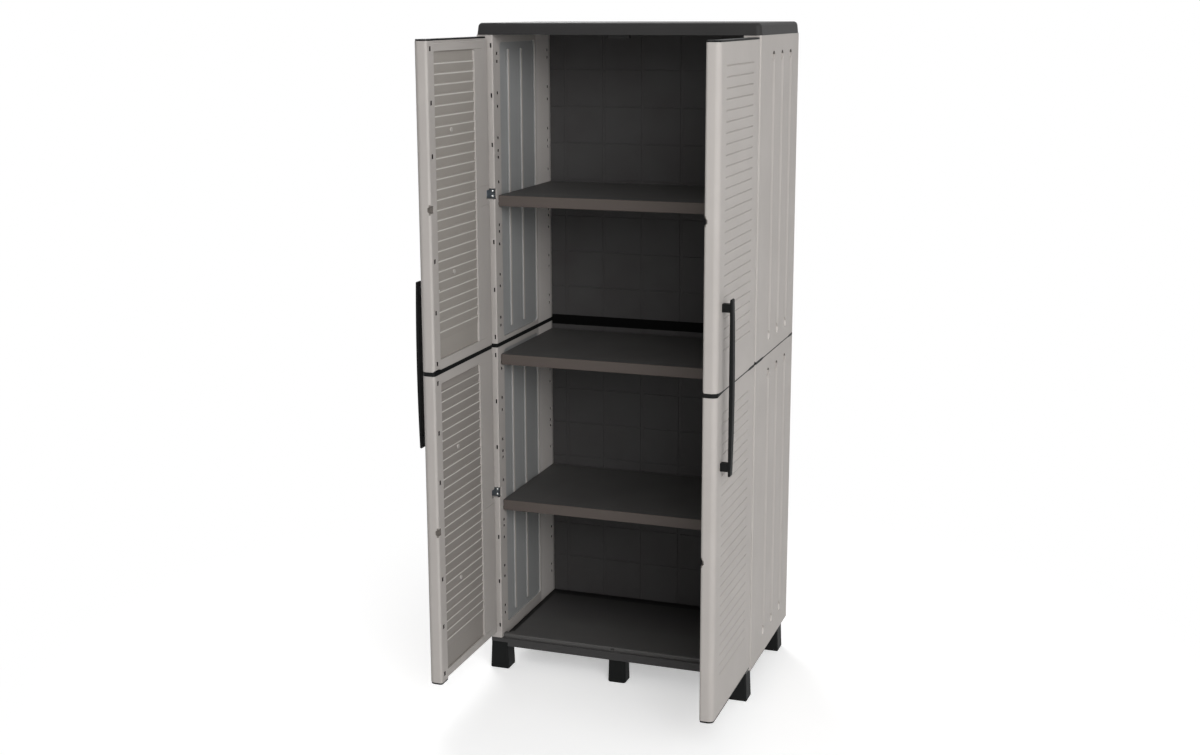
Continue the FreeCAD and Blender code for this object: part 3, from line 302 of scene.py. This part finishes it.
# Painted shade for the depth of the narrow slots
SLOT_SHADE_PAINT = "#2A2523"
FLUTE_WALL = (345.3, 349.5)
FLUTE_RUN = (-84.0, 120.0)
SIDE_PLACES = [
    # The recessed field: a cooler tint, with painted shade of the recess
    box("#939494", x=(310.5, 316.0), y=(-153.5, 80.5)),
    # Painted shade in the depth of the clip slots of the front and the rear strip, and of the narrow slots in
    # the front edge
    box(SLOT_SHADE_PAINT, x=(308.8, 320.0), y=(-176.0, -164.0)),
    box(SLOT_SHADE_PAINT, x=(308.8, 320.0), y=(161.0, 173.0)),
    box(SLOT_SHADE_PAINT, x=(310.5, 315.5), y=(-195.3, -186.0)),
    # A painted highlight on the lower and painted shade on the upper ends of the flutes, on both storeys
    box("#C8C4C0", x=FLUTE_WALL, y=FLUTE_RUN, z=(886.0, 896.0)),
    box("#C8C4C0", x=FLUTE_WALL, y=FLUTE_RUN, z=(129.0, 139.0)),
    box("#5C5754", x=FLUTE_WALL, y=FLUTE_RUN, z=(1567.0, 1577.0)),
    box("#5C5754", x=FLUTE_WALL, y=FLUTE_RUN, z=(810.0, 820.0)),
    # The strip at the rear, painted lighter as painted light on it
    box("#CBC6C2", x=(306.5, 309.0), y=(84.0, 176.0)),
]
# The painted highlight of each lower end climbs a little way up the rear wall of its flute
FLUTE_MIDDLES = (-70.0, 18.0, 106.0)
FLUTE_FEET = (886.0, 129.0)
REAR_WALL = (8.5, 12.5)
HIGHLIGHT_CLIMB = 15.0
for middle in FLUTE_MIDDLES:
    for foot in FLUTE_FEET:
        rear_wall = (middle + REAR_WALL[0], middle + REAR_WALL[1])
        SIDE_PLACES.append(box("#BDB9B5", x=FLUTE_WALL, y=rear_wall, z=(foot, foot + HIGHLIGHT_CLIMB)))

# Matt and warm: the grain breaks every highlight into a soft sheen, and the clouds keep wide walls alive
TAUPE_SIDE = moulded("polypropylene_taupe_side", *TAUPE, SIDE_PLACES, **TAUPE_SURFACE)
print(TAUPE_SIDE.name, "places:", len(SIDE_PLACES))

# %% Taupe finish of the doors
RECESS = (-509.0, -284.0)
BELOW_CREST = (319.95, 323.0)
BITE_DEPTH = (317.8, 324.8)
BITE_RUN = (-545.2, -528.0)
DOOR_PLACES = [
    # Painted shade on the slats below their crests, darker on the lower storey, and a painted highlight on
    # the crests
    box("#96918B", x=BELOW_CREST, y=RECESS, z=(850.0, 1700.0)),
    box("#8A8580", x=BELOW_CREST, y=RECESS, z=(0.0, 850.0)),
    box("#C6C2BD", x=(319.2, 319.75), y=RECESS),
    # Painted shade in the slots along the free edge, and in the bite in the middle of each storey's edge
    box(SLOT_SHADE_PAINT, x=(317.8, 330.0), y=(-533.0, -522.0)),
    box("#6E6964", x=BITE_DEPTH, y=BITE_RUN, z=(1220.0, 1243.0)),
    box("#6E6964", x=BITE_DEPTH, y=BITE_RUN, z=(463.0, 486.0)),
]

# The same warm matt resin: painted highlights on crests and painted shade on slats give the recess its fine
# lines
TAUPE_DOOR = moulded("polypropylene_taupe_door", *TAUPE, DOOR_PLACES, **TAUPE_SURFACE)
print(TAUPE_DOOR.name, "places:", len(DOOR_PLACES))

# %% [markdown]
# ## The charcoal resin
# The lid, base, shelves and back are charcoal, but each looks its own way in the photograph, because each
# meets the light differently. One shade for all would make the inside flat. So each kind of piece has its own
# shade of the same resin, in part painted light for the light it meets. The base has a darker front face, a
# floor with painted shade towards the back, and painted shade, nearly black, in the gutter and border round
# it, and the shelves have a browner front edge.

# %% Charcoal finishes
CHARCOAL_SURFACE = {"roughness": 0.6, "grain_depth": 0.5, "gloss": 0.25}
BORDER = (83.5, 97.0)
TRAY_PLACES = [
    # The darker front face, and painted shade on the floor towards the back
    box("#383737", y=(-200.0, -193.0)),
    box("#343333", y=(120.0, 200.0), fade=190.0),
    # Painted shade, nearly black, in the gutter and on the border of the floor at the sides and at the rear
    box("#0B0B0B", y=(-165.0, 200.0), z=(83.5, 91.5)),
    box("#141313", x=(289.0, 312.0), y=(-160.0, 200.0), z=BORDER, fade=4.0),
    box("#141313", y=(137.0, 200.0), z=BORDER, fade=4.0),
]
SHELF_PLACES = [box("#534C48", y=(-180.0, -174.5))]

# The lid: nearly black, with a soft sheen where its edges turn
CHARCOAL = moulded("polypropylene_charcoal_lid", "#282727", "#252424", **CHARCOAL_SURFACE)
# The base: a lighter floor that shows its grain, framed by the painted shade of its gutter
CHARCOAL_TRAY = moulded(
    "polypropylene_charcoal_tray", "#565554", "#525150", TRAY_PLACES, **CHARCOAL_SURFACE
)
# The back: duller than the rest, so its tiles show by their edges alone
CHARCOAL_BACK = moulded(
    "polypropylene_charcoal_back", "#454444", "#413F3F", roughness=0.65, grain_depth=0.5, gloss=0.25
)
# The shelves: plain grey tops that end in a browner line
CHARCOAL_SHELF = moulded(
    "polypropylene_charcoal_shelf", "#504F4E", "#4B4A49", SHELF_PLACES, **CHARCOAL_SURFACE
)
print("charcoal places:", len(TRAY_PLACES), "on the base,", len(SHELF_PLACES), "on the shelves")

# %% [markdown]
# ## The black resin
# The joiners, caps, feet and handles are black. They could share the charcoal, but in the photograph they are
# plainly darker and have hardly any sheen. The joiner behind lies in the shade between the back panels, where
# the same black still looked too light, so it has a deeper one, a painted shade.

# %% Black finishes
# Deep and dull: the pieces read as plain dark bands, and only a faint gleam shows their form
BLACK = moulded(
    "polypropylene_black", "#131414", "#101111", roughness=0.6, grain_depth=0.4, gloss=0.12
)
# The joiner behind: darker and rougher, as painted shade of its place, so that next to nothing gleams in its
# depth
BLACK_REAR = moulded(
    "polypropylene_black_rear", "#080808", "#060606", roughness=0.7, grain_depth=0.4, gloss=0.06
)
print("resins made:", [m.name for m in bpy.data.materials if m.name.startswith("polypropylene")])

# %% [markdown]
# ## Zinc-plated and bright steel
# The hinge brackets are pressed from sheet steel and zinc plated, which leaves a grey, slightly cloudy metal.
# The screws and pins are plain bright steel. A metal of one even roughness looks like chrome, so a noise lets
# the roughness wander in patches of a few millimetres, as on a plated or a drawn surface.

# %% Metals
PATCH_SPAN = (0.3, 0.7)
SHINIER = 0.08
DULLER = 0.1
PATCH_HEIGHT_MM = 0.1


def patchy_metal(name, colour, roughness, patch_mm):
    """A metal whose roughness wanders in patches of a given size."""
    material, tree, coordinates, output = new_finish(name)
    noise = {"Vector": coordinates, "Scale": MM_IN_M / patch_mm, "Detail": 4.0}
    patches = add(tree, "ShaderNodeTexNoise", noise).outputs["Fac"]
    low, high = PATCH_SPAN
    ends = {
        "Value": patches,
        "From Min": low,
        "From Max": high,
        "To Min": roughness - SHINIER,
        "To Max": roughness + DULLER,
    }
    rough = add(tree, "ShaderNodeMapRange", ends)
    relief = {"Strength": 0.2, "Distance": PATCH_HEIGHT_MM / MM_IN_M, "Height": patches}
    bump = add(tree, "ShaderNodeBump", relief)
    surface = {
        "Base Color": linear(colour),
        "Metallic": 1.0,
        "Roughness": rough.outputs[0],
        "Normal": bump.outputs["Normal"],
    }
    shader = add(tree, "ShaderNodeBsdfPrincipled", surface)
    tree.links.new(shader.outputs[0], output.inputs["Surface"])
    return material


# Zinc plating: a cool grey that shines here and is dull there
ZINC = patchy_metal("steel_zinc_plated", "#80868B", roughness=0.4, patch_mm=4.0)
# Bright steel: lighter and sharper, so that a screw shows as a small bright point
STEEL = patchy_metal("steel_bright", "#D6D6D4", roughness=0.3, patch_mm=2.0)
print("metals made:", ZINC.name, STEEL.name)

# %% [markdown]
# ## Screw heads
# Each hinge plate is held by two screws and each handle by two more. A real head is a shallow dome with a
# pressed cross for the driver, and the solid model has a plain round head. The cross could be cut out with a
# boolean, but that leaves ragged shading. So a head is made as one height over a disc: rings outwards, spokes
# round, with the cross sunk into the rings near the middle. The place of every head is measured from the
# solid screws that it stands for.

# %% A screw head as a height over rings and spokes
HEAD_RINGS = 36
HEAD_SPOKES = 96
DOME_SHARE = 0.45
CROSS_REACH = 0.62
CROSS_HALF_WIDTH = 0.14
CROSS_SLOPE = 0.1
CROSS_DEPTH = 0.55


def screw_head(radius, height):
    """Points and faces of a head that looks to +Z from a seat at 0.

    Rings go from the middle to the rim and then down the side. The dome falls with the square of the distance
    from the middle. The cross is the union of two bars, and its walls slope over a tenth of the radius.
    """
    out = np.concatenate([np.linspace(0.0, 1.0, HEAD_RINGS), np.array([1.0])])
    turn = np.linspace(0.0, 2 * np.pi, HEAD_SPOKES, endpoint=False)
    far, angle = np.meshgrid(out, turn, indexing="ij")
    x = far * np.cos(angle)
    y = far * np.sin(angle)
    dome = 1.0 - DOME_SHARE * far ** 2
    along_x = np.maximum(np.abs(x) - CROSS_REACH, np.abs(y) - CROSS_HALF_WIDTH)
    along_y = np.maximum(np.abs(y) - CROSS_REACH, np.abs(x) - CROSS_HALF_WIDTH)
    sunk = np.clip(-np.minimum(along_x, along_y) / CROSS_SLOPE, 0.0, 1.0)
    level = dome - CROSS_DEPTH * sunk
    level[-1] = 0.0
    points = np.stack([x * radius, y * radius, level * height], axis=-1).reshape(-1, 3)
    ring = np.arange(HEAD_RINGS)[:, None] * HEAD_SPOKES
    next_ring = ring + HEAD_SPOKES
    here = np.arange(HEAD_SPOKES)[None, :]
    after = (here + 1) % HEAD_SPOKES
    faces = np.stack([ring + here, next_ring + here, next_ring + after, ring + after], axis=-1)
    return points, faces.reshape(-1, 4)


print("faces of one head:", HEAD_RINGS * HEAD_SPOKES)

# %% Where the solid screws have their heads
ACROSS, ALONG, UP = 0, 1, 2
SIDES_APART = 0.1
SCREWS_APART = 0.002


def node_points(name):
    """All points of a node, in metres."""
    mesh = nodes[name].data
    points = np.empty(len(mesh.vertices) * 3)
    mesh.vertices.foreach_get("co", points)
    return points.reshape(-1, 3)


def split_by_gap(points, axis, gap):
    """Groups of points with a gap between them along one axis."""
    ordered = points[np.argsort(points[:, axis])]
    breaks = np.flatnonzero(np.diff(ordered[:, axis]) > gap) + 1
    return np.split(ordered, breaks)


def head_places(name, axis, sign):
    """Middle of the outer face and radius of every head, for screws whose heads look along an axis."""
    places = []
    for side in split_by_gap(node_points(name), ACROSS, SIDES_APART):
        for one in split_by_gap(side, UP, SCREWS_APART):
            middle = (one.min(axis=0) + one.max(axis=0)) / 2
            middle[axis] = one[:, axis].max() if sign > 0 else one[:, axis].min()
            radius = (one[:, UP].max() - one[:, UP].min()) / 2
            places.append((middle, radius))
    return places


print("hinge screws found:", len(head_places("hinge_screws", ALONG, -1)))

# %% Make the heads
HEAD_HEIGHT = 0.0019


def screw_piece(name, body, node, axis, sign):
    """One mesh with the heads that stand for a node's screws, facing along an axis."""
    outward = np.zeros(3)
    outward[axis] = sign
    up = np.array([0.0, 0.0, 1.0])
    sideways = np.cross(up, outward)
    turn = np.stack([sideways, up, outward])
    all_points = []
    all_faces = []
    for middle, radius in head_places(node, axis, sign):
        points, faces = screw_head(radius, HEAD_HEIGHT)
        all_faces.append(faces + sum(len(p) for p in all_points))
        all_points.append(points @ turn + middle - outward * HEAD_HEIGHT)
    mesh = bpy.data.meshes.new(name)
    mesh.from_pydata(np.concatenate(all_points).tolist(), [], np.concatenate(all_faces).tolist())
    mesh.shade_smooth()
    mesh.materials.append(STEEL)
    piece = bpy.data.objects.new(name, mesh)
    bpy.context.scene.collection.objects.link(piece)
    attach(piece, body)
    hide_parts(node)
    print(name, "heads:", len(all_points), "faces:", len(mesh.polygons))


screw_piece("hinge_screw_heads", "cabinet", "hinge_screws", axis=ALONG, sign=-1)
screw_piece("left_handle_screw_heads", "left_door", "left_handle_screws", axis=ACROSS, sign=1)
screw_piece("right_handle_screw_heads", "right_door", "right_handle_screws", axis=ACROSS, sign=-1)

# %% [markdown]
# ## Which piece has which finish
# On the real cabinet a finish comes with the resin or metal that a piece is made from. Every piece could be
# named here with its finish, but the record already says which material each one has. So that slot decides,
# and only the pieces with a shade of their own are named.

# %% Give every node its finish
FINISH_OF_SLOT = {
    "taupe_resin": TAUPE_DOOR,
    "charcoal_resin": CHARCOAL,
    "black_resin": BLACK,
    "hinge_zinc": ZINC,
    "steel": STEEL,
}
FINISH_OF_NODE = {
    "left_side_lower": TAUPE_SIDE,
    "left_side_upper": TAUPE_SIDE,
    "right_side_lower": TAUPE_SIDE,
    "right_side_upper": TAUPE_SIDE,
    "base_tray": CHARCOAL_TRAY,
    "back_joiner": BLACK_REAR,
    "back_panel_lower": CHARCOAL_BACK,
    "back_panel_upper": CHARCOAL_BACK,
    "shelf_bottom": CHARCOAL_SHELF,
    "shelf_middle": CHARCOAL_SHELF,
    "shelf_top": CHARCOAL_SHELF,
}
for part in frame["record"]["subparts"]:
    name = part["node"]
    mesh = nodes[name].data
    mesh.materials.clear()
    mesh.materials.append(FINISH_OF_NODE.get(name, FINISH_OF_SLOT[part["material_slot"]]))

# %% [markdown]
# ## The floor
# The photograph shows the cabinet on plain white. Without a floor it would hang in the air, and a floor of
# one grey would end in a line. So the floor is a pale matt sheet that keeps the shadow near the cabinet and
# turns to plain white further out. A little glow lifts the sheet near the cabinet too. White and glow are
# only for what the camera and reflections see, so they add no light to the cabinet.

# %% Floor sheet
FLOOR_HALF = 9.0
floor_mesh = bpy.data.meshes.new("floor")
corner_signs = ((-1, -1), (1, -1), (1, 1), (-1, 1))
corners = [(x * FLOOR_HALF, y * FLOOR_HALF, 0) for x, y in corner_signs]
floor_mesh.from_pydata(corners, [], [(0, 1, 2, 3)])
floor = bpy.data.objects.new("floor", floor_mesh)
bpy.context.scene.collection.objects.link(floor)
print("floor metres wide:", 2 * FLOOR_HALF)

# %% What sees the white
PLAIN_WHITE = (1, 1, 1, 1)


def seen_directly(tree, *more_rays):
    """1 for camera rays, glossy rays and the further kinds that are named, and 0 for all other light."""
    rays = add(tree, "ShaderNodeLightPath").outputs
    seen = rays["Is Camera Ray"]
    for kind in ("Is Glossy Ray", *more_rays):
        seen = add(tree, "ShaderNodeMath", {0: seen, 1: rays[kind]}, operation="MAXIMUM").outputs[0]
    return seen


print("white of the surroundings:", PLAIN_WHITE)

# %% Floor finish
FLOOR_PAINT = "#F2F2F2"
FLOOR_GLOW = 0.42
WHITE_FROM = 0.7
WHITE_TO = 1.6

# Matt white paint: a soft shadow at the feet of the cabinet, and no edge where the sheet ends
floor_finish, tree, coordinates, output = new_finish("studio_floor")
distance = add(tree, "ShaderNodeVectorMath", {0: coordinates}, operation="LENGTH")
ends = {"Value": distance.outputs["Value"], "From Min": WHITE_FROM, "From Max": WHITE_TO}
away = add(tree, "ShaderNodeMapRange", ends, interpolation_type="SMOOTHSTEP")
seen = seen_directly(tree)
white_share = add(tree, "ShaderNodeMath", {0: away.outputs[0], 1: seen}, operation="MULTIPLY")
lift = add(tree, "ShaderNodeMath", {0: seen, 1: FLOOR_GLOW}, operation="MULTIPLY")
paint = add(tree, "ShaderNodeBsdfDiffuse", {"Color": linear(FLOOR_PAINT)})
glow = add(tree, "ShaderNodeEmission", {"Color": PLAIN_WHITE, "Strength": lift.outputs[0]})
lit = add(tree, "ShaderNodeAddShader", {0: paint.outputs[0], 1: glow.outputs[0]})
white = add(tree, "ShaderNodeEmission", {"Color": PLAIN_WHITE, "Strength": 1.0})
mixed = add(tree, "ShaderNodeMixShader", {0: white_share.outputs[0], 1: lit.outputs[0], 2: white.outputs[0]})
tree.links.new(mixed.outputs[0], output.inputs["Surface"])
floor_mesh.materials.append(floor_finish)
print("floor turns white between", WHITE_FROM, "and", WHITE_TO, "m from the cabinet's middle")

# %% [markdown]
# ## Sky and lamps
# The light of the photograph is soft and comes from the front right: the outer right faces are the lightest,
# and the compartments are lit well inside. One strong lamp would throw hard shadows, and a bright sky alone
# would flatten the louvres. So an even sky of modest strength fills the shade, three large lamps stand to the
# front right, and one behind keeps the back readable. The sky is plain white for the camera, reflections and
# glass only.

# %% Sky
SKY = 0.26
world = bpy.data.worlds.new("studio")
bpy.context.scene.world = world
world.use_nodes = True
tree = world.node_tree
tree.nodes.clear()
ends = {"Value": seen_directly(tree, "Is Transmission Ray"), "To Min": SKY, "To Max": 1.0}
strength = add(tree, "ShaderNodeMapRange", ends)
sky = add(tree, "ShaderNodeBackground", {"Color": PLAIN_WHITE, "Strength": strength.outputs[0]})
add(tree, "ShaderNodeOutputWorld", {"Surface": sky.outputs[0]})
print("sky strength:", SKY)

# %% Lamps
AIM = Vector((0, 0, 0.8))


def lamp_at(name, azimuth, height_angle, distance, size, level):
    """A square lamp that shines at the middle of the cabinet.

    It stands some degrees right of the front and above the horizontal, at a distance and of a size in metres.
    Light thins out with the square of the distance, so the power grows with that square, and a lamp of one
    level lights the cabinet the same from near and far.
    """
    turn = math.radians(azimuth)
    rise = math.radians(height_angle)
    away = Vector((math.sin(turn) * math.cos(rise), -math.cos(turn) * math.cos(rise), math.sin(rise)))
    stand = AIM + away * distance
    data = bpy.data.lights.new(name, "AREA")
    data.shape = "SQUARE"
    data.size = size
    data.energy = level * (math.pi * distance) ** 2
    lamp = bpy.data.objects.new(name, data)
    bpy.context.scene.collection.objects.link(lamp)
    facing = (AIM - stand).to_track_quat("-Z", "Y").to_matrix().to_4x4()
    lamp.matrix_world = Matrix.Translation(stand) @ facing


lamp_at("lamp_key", azimuth=28, height_angle=28, distance=6.0, size=3.0, level=0.36)
lamp_at("lamp_fill", azimuth=36, height_angle=10, distance=6.0, size=3.5, level=0.30)
lamp_at("lamp_right", azimuth=60, height_angle=20, distance=5.0, size=2.4, level=0.20)
lamp_at("lamp_behind", azimuth=215, height_angle=30, distance=5.0, size=2.4, level=0.45)
bpy.context.scene.view_settings.view_transform = "Standard"
print("lamps placed:", [lamp.name for lamp in bpy.data.lights])
